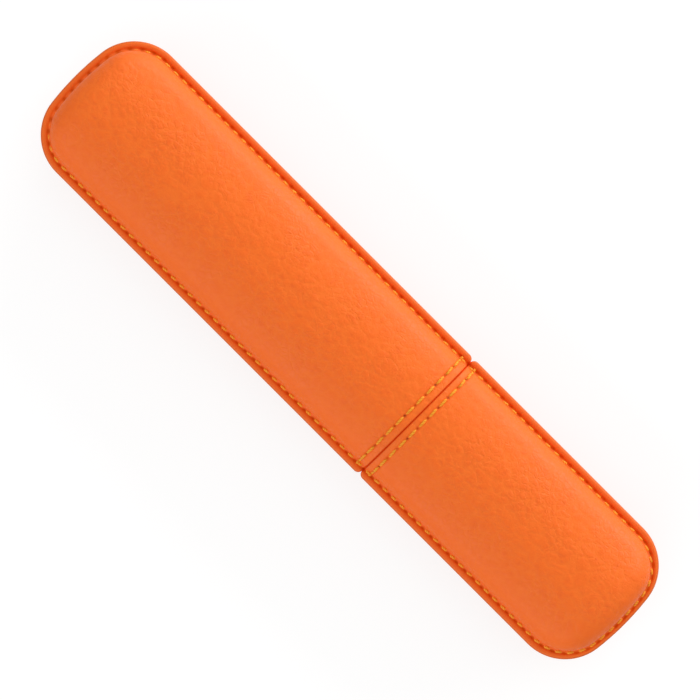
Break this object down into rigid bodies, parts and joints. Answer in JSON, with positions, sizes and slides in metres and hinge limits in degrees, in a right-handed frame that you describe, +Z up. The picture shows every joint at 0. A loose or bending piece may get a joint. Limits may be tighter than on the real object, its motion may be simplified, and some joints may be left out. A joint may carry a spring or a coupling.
{
  "type": "pen sleeve",
  "caption": "Two-part moulded leather sleeve for one pen: a sewn body with an inner neck and a shorter cap that slides over the neck and pulls straight off.",
  "frame": {"origin": "under the middle of the closed case, on the surface that its back rests on", "axes": "+X along the length from the body's closed end to the cap's closed end, +Y across the width, +Z up through the front panel"},
  "size_m": [0.165, 0.0348, 0.021],
  "materials": {
    "leather": "fine pebbled grain, semi-matt",
    "sleeve_leather": "smooth, semi-matt",
    "lining": "suede",
    "board": "bonded leather board",
    "thread": "waxed twisted thread"
  },
  "bodies": {
    "body": {"body_front_leather": "leather", "body_front_stiffener": "board", "body_front_lining": "lining", "body_front_mouth_thread": "thread", "body_back_leather": "leather", "body_back_stiffener": "board", "body_back_lining": "lining", "body_back_mouth_thread": "thread", "body_edge_thread": "thread", "sleeve_cover": "sleeve_leather", "sleeve_core": "board", "sleeve_lining": "lining"},
    "cap": {"cap_front_leather": "leather", "cap_front_stiffener": "board", "cap_front_lining": "lining", "cap_front_mouth_thread": "thread", "cap_back_leather": "leather", "cap_back_stiffener": "board", "cap_back_lining": "lining", "cap_back_mouth_thread": "thread", "cap_edge_thread": "thread"}
  },
  "joints": [
    {"name": "cap_slide", "type": "slide", "parent": "body", "child": "cap", "axis": [1, 0, 0], "range_m": [0, 0.065]}
  ]
}
